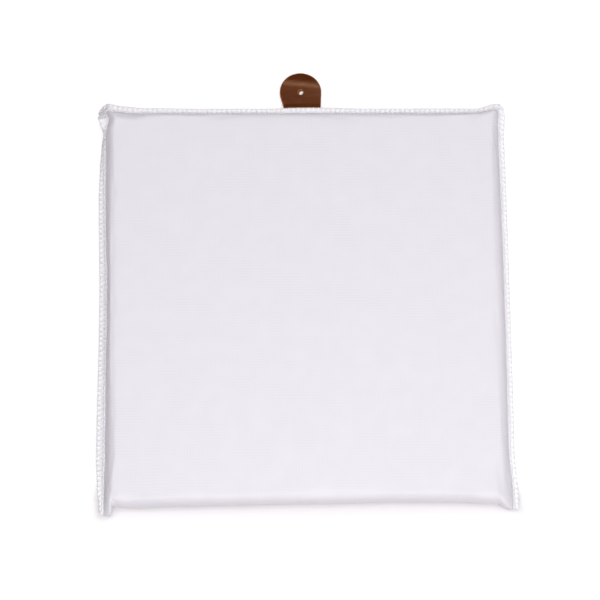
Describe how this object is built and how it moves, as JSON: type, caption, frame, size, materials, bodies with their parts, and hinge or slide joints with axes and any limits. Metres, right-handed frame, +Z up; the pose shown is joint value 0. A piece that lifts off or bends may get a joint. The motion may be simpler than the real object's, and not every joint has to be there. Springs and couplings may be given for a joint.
{
  "type": "baseball base",
  "caption": "Soft square baseball base: a thin foam pad in a folded white cover with overlocked edges and dog-ear corners, and a leather tab with a hole for a ground stake.",
  "frame": {"origin": "middle of the flat underside, on the ground", "axes": "+Z up through the pad, +Y towards the leather tab, +X to the right seen from the front fold"},
  "size_m": [0.3734, 0.4067, 0.0268],
  "materials": {
    "laminate": "vinyl-laminated woven nylon, satin",
    "foam": "open-cell polyurethane foam, matte",
    "thread": "spun polyester sewing thread",
    "leather": "oiled brown leather with burnished edges"
  },
  "bodies": {
    "base": {"cover": "laminate", "foam_core": "foam", "left_needle_thread": "thread", "left_upper_looper_thread": "thread", "left_lower_looper_thread": "thread", "back_needle_thread": "thread", "back_upper_looper_thread": "thread", "back_lower_looper_thread": "thread", "right_needle_thread": "thread", "right_upper_looper_thread": "thread", "right_lower_looper_thread": "thread", "tab_root": "leather", "tab_needle_thread": "thread", "tab_bobbin_thread": "thread"},
    "tab": {"tab_tongue": "leather"}
  },
  "joints": [
    {"name": "tab_flex", "type": "hinge", "parent": "base", "child": "tab", "pos_m": [-0.0004, 0.18644, 0.00477], "axis": [1, 0, 0], "range_deg": [0, 80], "stiffness_Nm_per_rad": 0.12}
  ]
}
